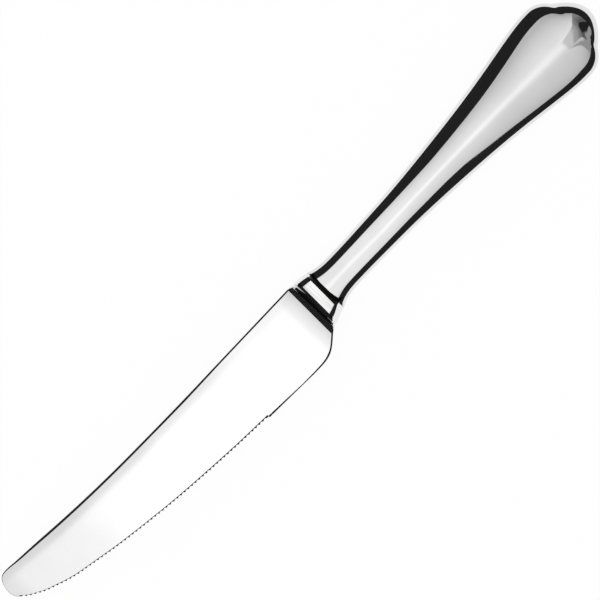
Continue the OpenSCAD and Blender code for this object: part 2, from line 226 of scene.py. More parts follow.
def spline(knots):
    """The natural cubic through the knots, as a function of the first coordinate."""
    x, y = np.array(knots, float).T
    gap = np.diff(x)
    slope = np.diff(y) / gap
    rows = np.eye(len(x))
    right = np.zeros(len(x))
    for i in range(1, len(x) - 1):
        rows[i, i - 1:i + 2] = gap[i - 1], 2 * (gap[i - 1] + gap[i]), gap[i]
        right[i] = 6 * (slope[i] - slope[i - 1])
    bend = np.linalg.solve(rows, right)

    def at(v):
        i = np.clip(np.searchsorted(x, v) - 1, 0, len(gap) - 1)
        a, b = x[i + 1] - v, v - x[i]
        return ((bend[i] * a ** 3 + bend[i + 1] * b ** 3) / (6 * gap[i])
                + (y[i] / gap[i] - bend[i] * gap[i] / 6) * a
                + (y[i + 1] / gap[i] - bend[i + 1] * gap[i] / 6) * b)

    return at


def smooth_path(corners, step):
    """Evenly spaced points of the smooth curve through the corners."""
    corners = np.array(corners, float)
    run = np.concatenate([[0], np.cumsum(np.linalg.norm(np.diff(corners, axis=0), axis=1))])
    fine = np.linspace(0, run[-1], FINE_POINTS)
    line = np.stack([spline(list(zip(run, corners[:, k])))(fine) for k in (0, 1)], 1)
    return resampled(line, step)


def resampled(line, step):
    run = np.concatenate([[0], np.cumsum(np.linalg.norm(np.diff(line, axis=0), axis=1))])
    even = np.linspace(0, run[-1], max(2, int(run[-1] / step) + 1))
    return np.stack([np.interp(even, run, line[:, k]) for k in (0, 1)], 1)


def softened(curve, x, reach):
    """The curve with its corners rounded over the reach, which may vary with x."""
    total = 0
    weights = 0
    for t in np.linspace(-SOFT_SPAN, SOFT_SPAN, SOFT_PLACES):
        w = np.exp(-t * t / 2)
        total = total + w * curve(x + t * reach)
        weights = weights + w
    return total / weights


def ramp(x, start, end):
    t = np.clip((x - start) / (end - start), 0, 1)
    return t * t * (3 - 2 * t)


# The handle's outline and section

width_of = spline(WIDTH_SHARES)
height_of = spline(HEIGHT_SHARES)
power_of = spline(POWER_SHARES)
LOBE_X = BUTT_X - LOBE_LEN
NOSE_X = BUTT_X - NOSE_LEN
SHOULDER_Y = SWELL_W - SHOULDER_R
ARC_X = LOBE_X - sqrt(SHOULDER_R ** 2 - (LOBE_W - SHOULDER_Y) ** 2)
FLARE_X = MOUTH_X + FLARE_LEN
CAVITY_X = BUTT_X - NOSE_WALL
# How far the corners of the width, the height, the lip and the power are rounded
WIDTH_SOFT = 0.2
HEIGHT_SOFT = 1.2
LIP_SOFT = 0.05
POWER_SOFT = 3.0
# Where the rounding of the width and of the height has died away before the butt
WIDTH_SOFT_END = 4.0
NOSE_SOFT_END = 1.5


def sharp_width(x):
    body = NECK_W + (SWELL_W - NECK_W) * width_of(np.minimum(x / SWELL_X, 1))
    arc = SHOULDER_Y + np.sqrt(np.maximum(SHOULDER_R ** 2 - (x - ARC_X) ** 2, 0))
    lobe = LOBE_W * np.sqrt(np.maximum(BUTT_X - x, 0) / LOBE_LEN)
    return np.where(x > LOBE_X, lobe, np.where(x > ARC_X, arc, body))


def half_width(x):
    fade = ramp(x, BUTT_X - WIDTH_SOFT_END, BUTT_X - NOSE_SOFT_END)
    return softened(sharp_width, x, WIDTH_SOFT * (1 - fade))


def sharp_height(x):
    body = NECK_H + (CROWN_H - NECK_H) * height_of(np.minimum(x / SWELL_X, 1))
    nose = CROWN_H * np.sqrt(np.maximum(1 - (np.maximum(x - NOSE_X, 0) / NOSE_LEN) ** 2, 0))
    return np.where(x > NOSE_X, nose, body)


def half_height(x):
    return softened(sharp_height, x, HEIGHT_SOFT * (1 - ramp(x, NOSE_X, BUTT_X - NOSE_SOFT_END)))


def sharp_power(x):
    return power_of(x / SWELL_X)


def section_power(x):
    return softened(sharp_power, x, POWER_SOFT)


def flare(x):
    return np.maximum((FLARE_X - x) / FLARE_LEN, 0) ** 3


def handle_rise(x):
    return half_width(x) + (SHOULDER_RISE - NECK_W) * flare(x)


def handle_drop(x):
    return half_width(x) + (SHOULDER_DROP - NECK_W) * flare(x)


def sharp_lip(x):
    return np.maximum(MOUTH_X + WALL / 2 - x, 0) / (WALL / 2)


def lip_height(x):
    return half_height(x) - LIP_DROP * softened(sharp_lip, x, LIP_SOFT)


# Nodes

def operation(name, swapped=False):
    """A method that adds a Math node for this wire and what it is combined with."""
    def act(self, *others):
        values = (*others, self) if swapped else (self, *others)
        return self.math(name, *values)
    return act


class Wire:
    """One output of a node: arithmetic on it adds Math nodes to its tree."""

    def __init__(self, socket):
        self.socket = socket

    def math(self, operation_name, *values):
        tree = self.socket.id_data
        node = tree.nodes.new("ShaderNodeMath")
        node.operation = operation_name
        for place, value in zip(node.inputs, values):
            plug(tree, place, value)
        return Wire(node.outputs[0])

    __add__ = __radd__ = operation("ADD")
    __sub__ = operation("SUBTRACT")
    __rsub__ = operation("SUBTRACT", swapped=True)
    __mul__ = __rmul__ = operation("MULTIPLY")
    __truediv__ = operation("DIVIDE")
    __rtruediv__ = operation("DIVIDE", swapped=True)
    __pow__ = operation("POWER")
    __lt__ = operation("LESS_THAN")
    __gt__ = operation("GREATER_THAN")
    __mod__ = operation("FLOORED_MODULO")
    floor = operation("FLOOR")
    size = operation("ABSOLUTE")
    sign = operation("SIGN")
    cosine = operation("COSINE")
    sine = operation("SINE")
    exponent = operation("EXPONENT")
    min = operation("MINIMUM")
    max = operation("MAXIMUM")
    soft_min = operation("SMOOTH_MIN")

    def __neg__(self):
        return self * -1

    def pick(self, yes, no):
        """yes where this is 1 and no where it is 0."""
        return no + (yes - no) * self


def plug(tree, place, value):
    if isinstance(value, Wire):
        tree.links.new(value.socket, place)
    else:
        place.default_value = value


class Graph:
    """A node tree that is being built."""

    def __init__(self, tree):
        self.tree = tree

    def add(self, kind, sockets=None, settings=None, output=0):
        node = self.tree.nodes.new(kind)
        for name, value in (settings or {}).items():
            setattr(node, name, value)
        for name, value in (sockets or {}).items():
            plug(self.tree, node.inputs[name], value)
        return Wire(node.outputs[output]) if node.outputs else node

    def parts(self, vector):
        node = self.tree.nodes.new("ShaderNodeSeparateXYZ")
        plug(self.tree, node.inputs[0], vector)
        return [Wire(node.outputs[k]) for k in range(3)]

    def place(self):
        return self.add("ShaderNodeTexCoord", output="Object")

    def tones(self, wire, *stops):
        """Greys against the wire, between the two stops."""
        node = self.tree.nodes.new("ShaderNodeValToRGB")
        plug(self.tree, node.inputs["Fac"], wire)
        for element, (position, tone) in zip(node.color_ramp.elements, stops):
            element.position = position
            element.color = grey(tone)
        return Wire(node.outputs[0])


def grey(tone):
    return (tone, tone, tone, 1)


def geometry_tree(name, counts, lengths):
    """An empty geometry tree with the named inputs, a line and a finish, and the wires that they give."""
    tree = bpy.data.node_groups.new(name, "GeometryNodeTree")
    kinds = {"Line": "Geometry", **dict.fromkeys(counts, "Int"), **dict.fromkeys(lengths, "Float"),
             "Finish": "Material"}
    for label, kind in kinds.items():
        tree.interface.new_socket(label, in_out="INPUT", socket_type="NodeSocket" + kind)
    tree.interface.new_socket("Piece", in_out="OUTPUT", socket_type="NodeSocketGeometry")
    entry = tree.nodes.new("NodeGroupInput")
    return Graph(tree), {s.name: Wire(s) for s in entry.outputs if s.name}


def finish_tree(graph, piece, finish):
    piece = graph.add("GeometryNodeMergeByDistance", {"Geometry": piece, "Distance": MERGED})
    piece = graph.add("GeometryNodeSetMaterial", {"Geometry": piece, "Material": finish})
    leave = graph.tree.nodes.new("NodeGroupOutput")
    plug(graph.tree, leave.inputs[0], piece)
    return graph.tree


def superellipse(angle, rise, drop, height, power):
    """Y and Z of a point on an oval section, at an angle counted from the spine side."""
    c, s = angle.cosine(), angle.sine()
    side = (c > 0).pick(rise, drop)
    y = side * c.sign() * (c.size() ** (2 / power))
    z = height * s.sign() * (s.size() ** (2 / power))
    return y, z


def rail_reader(graph, line, station):
    """A function that reads a named value of the rail at the station."""
    def read(label):
        value = graph.add("GeometryNodeInputNamedAttribute", {"Name": label}, {"data_type": "FLOAT"})
        return graph.add("GeometryNodeSampleIndex", {"Geometry": line, "Value": value, "Index": station},
                         {"data_type": "FLOAT", "domain": "POINT"})
    return read


def grid_of(graph, stations, places):
    """A sheet with a row of points for each station, and the wires of station and place."""
    sheet = graph.add("GeometryNodeMeshGrid", {"Vertices X": stations, "Vertices Y": places})
    index = graph.add("GeometryNodeInputIndex")
    station = (index / places).floor()
    return sheet, station, index - station * places


def placed(graph, sheet, x, y, z):
    """The sheet with its points at x, y and z, in millimetres from the handle's axis."""
    point = graph.add("ShaderNodeCombineXYZ", {
        "X": x * MM, "Y": (y + AXIS_Y) * MM, "Z": (z + MID_Z) * MM})
    return graph.add("GeometryNodeSetPosition", {"Geometry": sheet, "Position": point})


def shell_tree():
    """A pressed half handle: each station is a loop, out over the half oval and back along its inside."""
    graph, given = geometry_tree("pressed_shell", ("Stations", "Arc points"), ("Seam height", "Facing"))
    arc = given["Arc points"]
    sheet, station, place = grid_of(graph, given["Stations"], arc * 2 + 1)
    place = place % (arc * 2)
    outside = place < arc
    angle = outside.pick(place, arc * 2 - 1 - place) * pi / (arc - 1)
    read = rail_reader(graph, given["Line"], station)
    value = {n: outside.pick(read("outer_" + n), read("inner_" + n)) for n in ("x", "rise", "drop", "height")}
    seam = given["Seam height"]
    y, z = superellipse(angle, value["rise"], value["drop"], value["height"] - seam, read("power"))
    sheet = placed(graph, sheet, value["x"], y, (z.max(0) + seam) * given["Facing"])
    return finish_tree(graph, sheet, given["Finish"])


def sweep_tree():
    """A solid that follows a rail of oval sections, with flats cut across it by three sloping planes."""
    graph, given = geometry_tree("oval_sweep", ("Stations", "Ring points"), (
        "Lean", "Middle", "Front foot", "Front height", "Front slope", "Top height", "Rear foot",
        "Rear height", "Rear slope", "Edge radius"))
    ring = given["Ring points"]
    sheet, station, place = grid_of(graph, given["Stations"], ring + 1)
    angle = (place % ring) * (2 * pi) / ring
    read = rail_reader(graph, given["Line"], station)
    x = read("x")
    spine_side = angle.cosine() > 0
    height = spine_side.pick(read("height"), read("edge_height"))
    power = spine_side.pick(read("power"), read("edge_power"))
    y, z = superellipse(angle, read("rise"), read("drop"), height, power)
    lean, middle = given["Lean"], given["Middle"]
    across = middle + (x - middle) * lean.cosine() - y * lean.sine()
    front = given["Front height"] + (across - given["Front foot"]) * given["Front slope"]
    rear = given["Rear height"] + (given["Rear foot"] - across) * given["Rear slope"]
    reach = given["Edge radius"]
    size = z.size()
    flat = size.soft_min(given["Top height"], reach).soft_min(front, reach).soft_min(rear, reach).max(0)
    z = z.sign() * read("flatted").pick(flat, size)
    return finish_tree(graph, placed(graph, sheet, x, y, z), given["Finish"])


def teeth_tree():
    """The toothed strip: a grid along the edge whose outer rows follow the hollows and their facets."""
    graph, given = geometry_tree("toothed_strip", ("Points along", "Points across"),
                                 ("Length", "Pitch", "Depth", "Land", "Facet", "Strip"))
    across, along = given["Points across"], given["Points along"]
    sheet, station, place = grid_of(graph, along, across * 2 + 1)
    place = place % (across * 2)
    above = place < across
    share = above.pick(place, across * 2 - 1 - place) / (across - 1)
    run = (station - 1).max(0).min(along - 3) / (along - 3) * given["Length"]
    closed = (station < 0.5) + (station > along - 1.5)
    curve = graph.add("GeometryNodeMeshToCurve", {"Mesh": given["Line"]})
    sample = graph.tree.nodes.new("GeometryNodeSampleCurve")
    sample.mode = "LENGTH"
    plug(graph.tree, sample.inputs["Curves"], curve)
    plug(graph.tree, sample.inputs["Length"], run * MM)
    px, py, _ = graph.parts(Wire(sample.outputs["Position"]))
    tx, ty, _ = graph.parts(Wire(sample.outputs["Tangent"]))

    pitch, depth = given["Pitch"], given["Depth"]
    half = (pitch - given["Land"]) / 2
    radius = (half * half + depth * depth) / (depth * 2)
    off = ((run / pitch + 0.5) % 1 - 0.5).size() * pitch
    sag = radius - (radius * radius - off * off).max(0) ** 0.5
    inside = (run > pitch / 2) * (run < given["Length"] - pitch / 2)
    hollow = (depth - sag).max(0) * inside

    inward = hollow + (given["Strip"] - hollow) * (1 - share) ** 2
    inward = closed.pick(given["Strip"] / 2, inward)
    x = px / MM + ty * inward
    y = py / MM - tx * inward
    facet = given["Facet"] * (1 - (run / given["Length"]) ** 4 * FACET_TAPER)
    ground = 1 - (1 - inward / facet).max(0) * FACET_SHARE
    z = face_height(x, y) * ground * above.pick(1, -1) * (1 - closed)
    return finish_tree(graph, placed(graph, sheet, x, y, z), given["Finish"])


def face_height(x, y):
    """Half thickness of the blade, a plane that falls to the edge and to the tip."""
    return SPINE_T / 2 + SPINE_TAPER / 2 * x / -TIP_X - (SPINE_H - y) * FACE_FALL


def new_mesh(name, vertices, edges=(), faces=(), material=None):
    mesh = bpy.data.meshes.new(name)
    mesh.from_pydata(vertices, edges, faces)
    if material:
        mesh.materials.append(material)
    return mesh


def chain(n):
    return [(i, i + 1) for i in range(n - 1)]


def rail(name, values):
    """A line of points that carry the named values for each station."""
    count = len(values["power"])
    mesh = new_mesh(name, [(0, 0, 0)] * count, chain(count))
    for label, numbers in values.items():
        mesh.attributes.new(label, "FLOAT", "POINT").data.foreach_set("value", np.array(numbers, np.float32))
    return add_object(name, mesh)


def add_object(name, data):
    obj = bpy.data.objects.new(name, data)
    bpy.context.scene.collection.objects.link(obj)
    return obj


def grown(line, tree, values):
    """The plain mesh that the tree makes of the line, with its faces outwards."""
    modifier = line.modifiers.new(tree.name, "NODES")
    modifier.node_group = tree
    for item in tree.interface.items_tree:
        if item.name in values:
            modifier[item.identifier] = values[item.name]
    bpy.context.view_layer.update()
    mesh = bpy.data.meshes.new_from_object(line.evaluated_get(bpy.context.evaluated_depsgraph_get()))
    line.modifiers.remove(modifier)
    line_mesh = line.data
    bpy.data.objects.remove(line)
    bpy.data.meshes.remove(line_mesh)
    tidy_mesh(mesh)
    return mesh


def tidy_mesh(mesh):
    """Faces outwards, and smooth but for the creases and the rims of the flat faces."""
    work = bmesh.new()
    work.from_mesh(mesh)
    bmesh.ops.dissolve_degenerate(work, dist=DISSOLVED, edges=work.edges)
    bmesh.ops.recalc_face_normals(work, faces=work.faces)
    for face in work.faces:
        face.smooth = True
    for edge in work.edges:
        flat = any(len(face.verts) > MOST_CORNERS for face in edge.link_faces)
        edge.smooth = not flat and edge.calc_face_angle(pi) < CREASE
    work.to_mesh(mesh)
    work.free()


# Finishes

# How the noise is squeezed for polishing lines along X or Y and for hair scratches, the turn of the
# scratches in plan, and the levels of the noise and of its cloud above which they show
GRAIN = {"X": (60, 2600, 2600), "Y": (2600, 60, 2600)}
HAIRS = (25, 900, 900)
HAIR_TURN = 0.5
HAIR_LEVEL = 0.735
PATCH_LEVEL = 0.52
# Colour of the painted shade in the grooves by the ferrule, and tone of the painted highlights beside them
PAINTED_SHADE = (0.014, 0.013, 0.012, 1)
PAINTED_HIGHLIGHT = 0.82
# Painted shade, standing in for the dark reflection and shade in the V groove and the foot of the ferrule:
# how high it starts, where it starts and ends along the knife, and the lines that it stays between, each
# through a place and with its slope
FLANK_H = 2.6
FRONT_SHADE_START = 1.3
FRONT_SHADE_END = 3.5
FRONT_SHADE_LEAN = 0.03
GROOVE_END = 2.7
SHADE_TOP = 6.6
SHADE_TOP_SLOPE = 0.3
SHADE_FOOT = ((1.5, -8.26), 0.68)
SHADE_FOOT_BEHIND = ((2.5, -7.575), 0.47)
# Painted shade, standing in for the dark reflection between the ferrule and the mouth of the handle
REAR_SHADE_H = 1.2
REAR_SHADE_START = 6.43
REAR_SHADE_LEAN = 0.035
REAR_SHADE_END = 8.0
REAR_SHADE_BOW = 0.022
REAR_SHADE_MIDDLE = 0.3
REAR_CORNER_Y = -4.3
REAR_SHADE_TOP = ((8.0, 5.83), -0.24)
REAR_SHADE_FOOT = ((8.0, -5.5), 0.1)
# Painted highlights, pale and matt: a streak that widens towards the spine, a sliver before it and a thin one
# at the edge side
STREAK_X = 2.82
STREAK_FOOT = 3.07
STREAK_LEAN = 0.097
STREAK_W = 0.1
STREAK_FADE = 3.6
HIGHLIGHT_TOP = 6.9
SLIVER_X = 1.53
SLIVER_W = 0.06
SLIVER_FOOT = 5.2
SLIVER_FADE = 2.5
LOWER_X = 2.2
LOWER_TOP = -5.9
LOWER_LEAN = 0.04
LOWER_W = 0.1
LOWER_TONE = 0.3


def past(wire, place):
    return (wire - place).max(0)


def before(wire, place):
    return (place - wire).max(0)


def line_at(x, place, slope):
    """Y at x of the straight line through the place."""
    return (x - place[0]) * slope + place[1]


# Painted shade over the V groove, the foot of the ferrule and its flanks
def front_painted_shade(x, y, height, foot):
    top = past(x, GROOVE_END) * SHADE_TOP_SLOPE + SHADE_TOP
    along = (x > FRONT_SHADE_START) * (x < y * FRONT_SHADE_LEAN + FRONT_SHADE_END)
    return along * (y < top) * (y > foot) * (x > GROOVE_END).pick(height > FLANK_H, 1)


# Painted shade between the ferrule and the mouth of the handle
def rear_painted_shade(x, y, height):
    off = y - REAR_SHADE_MIDDLE
    end = off * off * REAR_SHADE_BOW + REAR_SHADE_END + before(y, REAR_CORNER_Y)
    along = (x > y * REAR_SHADE_LEAN + REAR_SHADE_START) * (x < end)
    across = (y < line_at(x, *REAR_SHADE_TOP)) * (y > line_at(x, *REAR_SHADE_FOOT))
    return along * across * (height > REAR_SHADE_H)


# Painted highlights: pale marks beside the V groove, in place of reflections on its rims
def painted_highlights(x, y, foot):
    from_foot = past(y, STREAK_FOOT)
    streak = (x - STREAK_X + from_foot * STREAK_LEAN).size() < from_foot ** 0.5 * STREAK_W
    streak = streak * (from_foot / STREAK_FADE).min(1)
    sliver = ((x - SLIVER_X).size() < SLIVER_W) * past(y, SLIVER_FOOT) / SLIVER_FADE
    from_edge = before(y, LOWER_TOP)
    lower = (x - LOWER_X + from_edge * LOWER_LEAN).size() < from_edge * LOWER_W
    return (streak.max(sliver) * (y < HIGHLIGHT_TOP)).max(lower * (y > foot) * LOWER_TONE)


def painted_groove_light(graph, place):
    """Where shade is painted dark into the grooves beside the ferrule, and where pale highlights are painted.
    """
    x, y, z = (value / MM for value in graph.parts(place))
    y = y - AXIS_Y
    height = (z - MID_Z).size()
    foot = line_at(x, *SHADE_FOOT).min(line_at(x, *SHADE_FOOT_BEHIND))
    return front_painted_shade(x, y, height, foot).max(rear_painted_shade(x, y, height)), painted_highlights(x, y, foot)


def mixed(graph, factor, first, second, blend="MIX"):
    return graph.add("ShaderNodeMix", {"Factor": factor, "A": first, "B": second},
                     {"data_type": "RGBA", "blend_type": blend}, output=2)


def noise(graph, place, scale, detail, squeeze=None, turn=0.0):
    """Noise, squeezed along the axes for brushed lines and turned in plan."""
    if squeeze:
        place = graph.add("ShaderNodeMapping", {
            "Vector": place, "Rotation": (0, 0, turn), "Scale": squeeze})
    return graph.add("ShaderNodeTexNoise", {"Vector": place, "Scale": scale, "Detail": detail})


def bump(graph, strength, distance, height):
    return graph.add("ShaderNodeBump", {"Strength": strength, "Distance": distance, "Height": height})


def polished_steel(name, tone, roughness, grain_axis, streak_tone=1.0):
    """Mirror-polished stainless steel with faint polishing lines along one axis and a few hair scratches, and
    with shade and highlights painted into its colour beside the ferrule's grooves.
    """
    material, graph = new_material(name)
    place = graph.place()
    grain = noise(graph, place, 1.0, 3.0, GRAIN[grain_axis])
    cloud = noise(graph, place, 45.0, 4.0)
    hairs = noise(graph, place, 1.0, 2.0, HAIRS, HAIR_TURN) > HAIR_LEVEL
    hairs = hairs * (cloud > PATCH_LEVEL)
    worn = graph.tones(cloud, (0.35, 0.94), (0.65, 1.0))
    streaks = graph.tones(grain, (0.38, streak_tone), (0.6, 1.0))
    _, _, z = graph.parts(place)
    on_pad = (z / MM - MID_Z).size() > CROWN_H - PAD_EDGE_R
    tint = mixed(graph, 1.0, grey(tone), mixed(graph, on_pad, worn, streaks, "MULTIPLY"), "MULTIPLY")
    relief = bump(graph, 0.02, 0.00002, grain + hairs * -0.6)
    # Shade and highlights painted into the colour beside the ferrule's grooves
    painted_dark, painted_bright = painted_groove_light(graph, place)
    # Painted highlights are pale, matt and not metallic
    shade = mixed(graph, painted_bright, mixed(graph, painted_dark, tint, PAINTED_SHADE), grey(PAINTED_HIGHLIGHT))
    roughness = roughness + grain * 0.02 + cloud * 0.02 + hairs * 0.06 + painted_dark.max(painted_bright) * 0.3
    surface(graph, {"Base Color": shade, "Metallic": 1 - (painted_bright > 0), "Roughness": roughness,
                    "Normal": relief})
    return material


def new_material(name):
    material = bpy.data.materials.new(name)
    material.use_nodes = True
    material.node_tree.nodes.clear()
    return material, Graph(material.node_tree)


def surface(graph, values):
    end_with(graph, graph.add("ShaderNodeBsdfPrincipled", values))


def end_with(graph, shader, kind="ShaderNodeOutputMaterial"):
    out = graph.tree.nodes.new(kind)
    plug(graph.tree, out.inputs["Surface"], shader)


def cast_cement():
    """Grey-buff cement with grit and small pores."""
    material, graph = new_material("cast_cement")
    place = graph.place()
    grit = noise(graph, place, 900.0, 5.0)
    pores = graph.add("ShaderNodeTexVoronoi", {"Vector": place, "Scale": 700.0})
    shade = mixed(graph, grit, (0.34, 0.27, 0.2, 1), (0.56, 0.48, 0.38, 1))
    relief = bump(graph, 0.4, 0.0001, grit + pores.min(0.3))
    surface(graph, {"Base Color": shade, "Roughness": 0.85 + grit * 0.1, "Normal": relief})
    return material


def silver_braze():
    """Braze filed flush with the steel: a little warmer and duller than it."""
    material, graph = new_material("silver_braze")
    place = graph.place()
    cloud = noise(graph, place, 600.0, 3.0)
    shade = mixed(graph, cloud, (0.66, 0.63, 0.57, 1), (0.76, 0.73, 0.67, 1))
    # Shade painted dark into the braze's colour in the grooves
    shade = mixed(graph, painted_groove_light(graph, place)[0], shade, PAINTED_SHADE)
    surface(graph, {"Base Color": shade, "Metallic": 1.0, "Roughness": 0.16 + cloud * 0.12,
                    "Normal": bump(graph, 0.1, 0.00002, cloud)})
    return material


# Pieces

def under_sheet(outline, x):
    """The outline at x, less the wall."""
    return np.maximum(outline(x) - WALL, 0)


def handle_stations():
    """X of the handle's sections, close together at the lip and the nose."""
    lip = MOUTH_X + np.linspace(0, LIP_RUN, LIP_STATIONS)
    body = np.linspace(MOUTH_X + BODY_START, NOSE_X, BODY_STATIONS)
    nose = BUTT_X - NOSE_LEN * (1 - np.linspace(0, 1, NOSE_STATIONS)[1:]) ** 2
    return np.concatenate([lip, body, nose])


def handle_rail():
    """The handle's sections from the mouth to the butt, with the cavity's inside them."""
    x = handle_stations()
    inner_x = MOUTH_X + (x - MOUTH_X) * (CAVITY_X - MOUTH_X) / (BUTT_X - MOUTH_X)
    ease = np.clip((BUTT_X - x) / CAVITY_EASE, 0, 1) ** 0.5
    values = {"outer_x": x, "outer_rise": handle_rise(x), "outer_drop": handle_drop(x),
              "outer_height": np.maximum(lip_height(x), SEAM_H), "inner_x": inner_x,
              "inner_rise": under_sheet(handle_rise, inner_x) * ease,
              "inner_drop": under_sheet(handle_drop, inner_x) * ease,
              "inner_height": SEAM_H + np.maximum(half_height(inner_x) - WALL - SEAM_H, 0) * ease,
              "power": section_power(x)}
    values["outer_height"][-1] = SEAM_H
    for label in ("x", "rise", "drop", "height"):
        outer, inner = values["outer_" + label], values["inner_" + label]
        middle = (outer[0] + inner[0]) / 2
        values["outer_" + label] = np.concatenate([[middle], outer])
        values["inner_" + label] = np.concatenate([[middle], inner])
    values["power"] = np.concatenate([[values["power"][0]], values["power"]])
    return values


def handle_shells(steel):
    tree = shell_tree()
    values = handle_rail()
    for name, facing in (("upper_handle_shell", 1.0), ("lower_handle_shell", -1.0)):
        line = rail(name + "_rail", values)
        mesh = grown(line, tree, {"Stations": len(values["power"]), "Arc points": ARC_POINTS,
                                  "Seam height": SEAM_H, "Facing": facing, "Finish": steel})
        dress(add_object(name + "_polished", mesh), name)


def dress(piece, node):
    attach(piece, "root")
    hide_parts(node)


def stations_of(rows):
    """Rail values from rows of x, rise, drop, height, power and flatted, and of the edge side's own two."""
    names = ("x", "rise", "drop", "height", "power", "flatted", "edge_height", "edge_power")
    rows = [r if len(r) == len(names) else (*r, r[3], r[4]) for r in rows]
    return {n: np.array([r[k] for r in rows], float) for k, n in enumerate(names)}


def rounded(curve, x):
    return float(softened(curve, x, CORNER_SOFT))


def swept(name, rows, sweep, flats):
    """The solid that follows these rows of sections, cut by these flats."""
    values = stations_of(rows)
    return grown(rail(name, values), sweep, {"Stations": len(rows), "Ring points": RING_POINTS, **flats})


def ferrule_share(x):
    return (x - FERRULE_X) / (SHOULDER_X - FERRULE_X)


def groove_cut(x):
    return GROOVE_DEPTH * np.maximum(1 - (x - FERRULE_X) / GROOVE_BEVEL, 0)


def ferrule_rise(x):
    return SPINE_H - (SPINE_H - SHOULDER_RISE) * np.maximum(ferrule_share(x), 0) ** BOW_POWER - groove_cut(x)


def ferrule_drop(x):
    return FRONT_DROP - (FRONT_DROP - SHOULDER_DROP) * ferrule_share(x) - groove_cut(x)


def oval_at(x, side):
    """Height and power of the ferrule's oval at x, on the side with this table."""
    places, heights, powers = zip(*side)
    off = x - FERRULE_X
    return float(np.interp(off, places, heights)), float(np.interp(off, places, powers))


def ferrule_rows():
    """The ferrule from its front to the shoulder, its spigot, and back along the slot for the tang."""
    rows = []
    for x in np.linspace(FERRULE_X, SHOULDER_X, FERRULE_STATIONS):
        rows.append((x, rounded(ferrule_rise, x), rounded(ferrule_drop, x), *oval_at(x, SPINE_OVAL), 1,
                     *oval_at(x, EDGE_OVAL)))
    inset = WALL + SPIGOT_CLEAR
    spigot = (float(handle_rise(SPIGOT_X)) - inset, float(handle_drop(SPIGOT_X)) - inset, NECK_H - inset,
              float(section_power(SPIGOT_X)), 0)
    slot_w = TANG_W / 2 + TANG_CLEAR
    slot = (slot_w, slot_w, TANG_T / 2 + TANG_CLEAR, BOX_POWER, 0)
    return rows + [(SHOULDER_X, *spigot), (SPIGOT_X, *spigot), (SPIGOT_X, *slot), (FERRULE_X, *slot), rows[0]]


def ferrule(steel, sweep):
    pad_x = FERRULE_X + FRONT_BEVEL
    rear_bevel = SHOULDER_X - pad_x - PAD_LEN
    mesh = swept("ferrule_rail", ferrule_rows(), sweep, {
        "Lean": PAD_LEAN, "Middle": pad_x + PAD_LEN / 2, "Front foot": FERRULE_X, "Front height": FRONT_H,
        "Front slope": (CROWN_H - FRONT_H) / FRONT_BEVEL, "Top height": CROWN_H, "Rear foot": SHOULDER_X,
        "Rear height": SHOULDER_H, "Rear slope": (CROWN_H - SHOULDER_H) / rear_bevel,
        "Edge radius": PAD_EDGE_R, "Finish": steel})
    dress(add_object("ferrule_polished", mesh), "ferrule")


def bolster_drop(x):
    slope = FOOT_DROP - (FOOT_DROP - RIM_DROP) * x / SLOPE_LEN
    bevel = RIM_DROP - (x - SLOPE_LEN) * (RIM_DROP - FRONT_DROP + GROOVE_DEPTH) / GROOVE_BEVEL
    return np.where(x < SLOPE_LEN, slope, bevel)


def bolster_rise(x):
    return SPINE_H - GROOVE_DEPTH * np.maximum((x - SLOPE_LEN) / GROOVE_BEVEL, 0)


def notch_places():
    return [TANG_X - k * NOTCH_PITCH for k in range(1, NOTCHES + 1)]


def tang_edge(x):
    """Half width of the tapering tang, with round notches along it."""
    edge = TANG_W / 2 + (TANG_END_W - TANG_W) / 2 * (x - SLOPE_LEN) / (TANG_X - SLOPE_LEN)
    for place in notch_places():
        off = x - place
        if abs(off) < NOTCH_R:
            edge = min(edge, edge + NOTCH_R / 2 - sqrt(NOTCH_R ** 2 - off ** 2))
    return edge


def bolster_rows():
    """The bolster from its foot to the flange, then the notched tang."""
    rows = [(x, rounded(bolster_rise, x), rounded(bolster_drop, x), OVAL_H, OVAL_POWER, 1)
            for x in np.linspace(FOOT_X, FLANGE_X, BOLSTER_STATIONS)]
    tang_xs = [FLANGE_X, TANG_X]
    for place in notch_places():
        tang_xs += list(place + NOTCH_R * np.linspace(-NOTCH_REACH, NOTCH_REACH, NOTCH_STATIONS))
    rows += [(x, tang_edge(x), tang_edge(x), TANG_T / 2, BOX_POWER, 0) for x in sorted(tang_xs)]
    centre = (0, 0, 0, OVAL_POWER, 0)
    return [(FOOT_X, *centre)] + rows + [(TANG_X, *centre)]


def bolster_mesh(steel, sweep):
    return swept("bolster_rail", bolster_rows(), sweep, {
        "Lean": 0.0, "Middle": 0.0, "Front foot": 0.0, "Front height": SPINE_T / 2,
        "Front slope": (RIM_H - SPINE_T / 2) / SLOPE_LEN, "Top height": RIM_H, "Rear foot": FLANGE_X,
        "Rear height": RIM_H - GROOVE_DEPTH, "Rear slope": GROOVE_DEPTH / GROOVE_BEVEL,
        "Edge radius": BOLSTER_EDGE_R, "Finish": steel})


def blade_corners():
    length = -TIP_X
    spine = [(-s * length, SPINE_H + r * TIP_LIFT) for s, r in SPINE_SHARES]
    belly = [(-s * length, GRIND_STEP - r * BELLY_DROP) for s, r in BELLY_SHARES]
    foot, head = belly[0][1], SPINE_H + TIP_LIFT
    tip = [(-s * length, foot + r * (head - foot)) for s, r in TIP_SHARES]
    heel = [(-s * length, -r * BELLY_DROP) for s, r in HEEL_SHARES] + [(0, -FOOT_DROP)]
    return spine, tip, belly, heel


def side_normals(line):
    """Unit normals to the left of a line of points."""
    along = np.gradient(line, axis=0)
    along /= np.linalg.norm(along, axis=1)[:, None]
    return np.stack([-along[:, 1], along[:, 0]], 1)


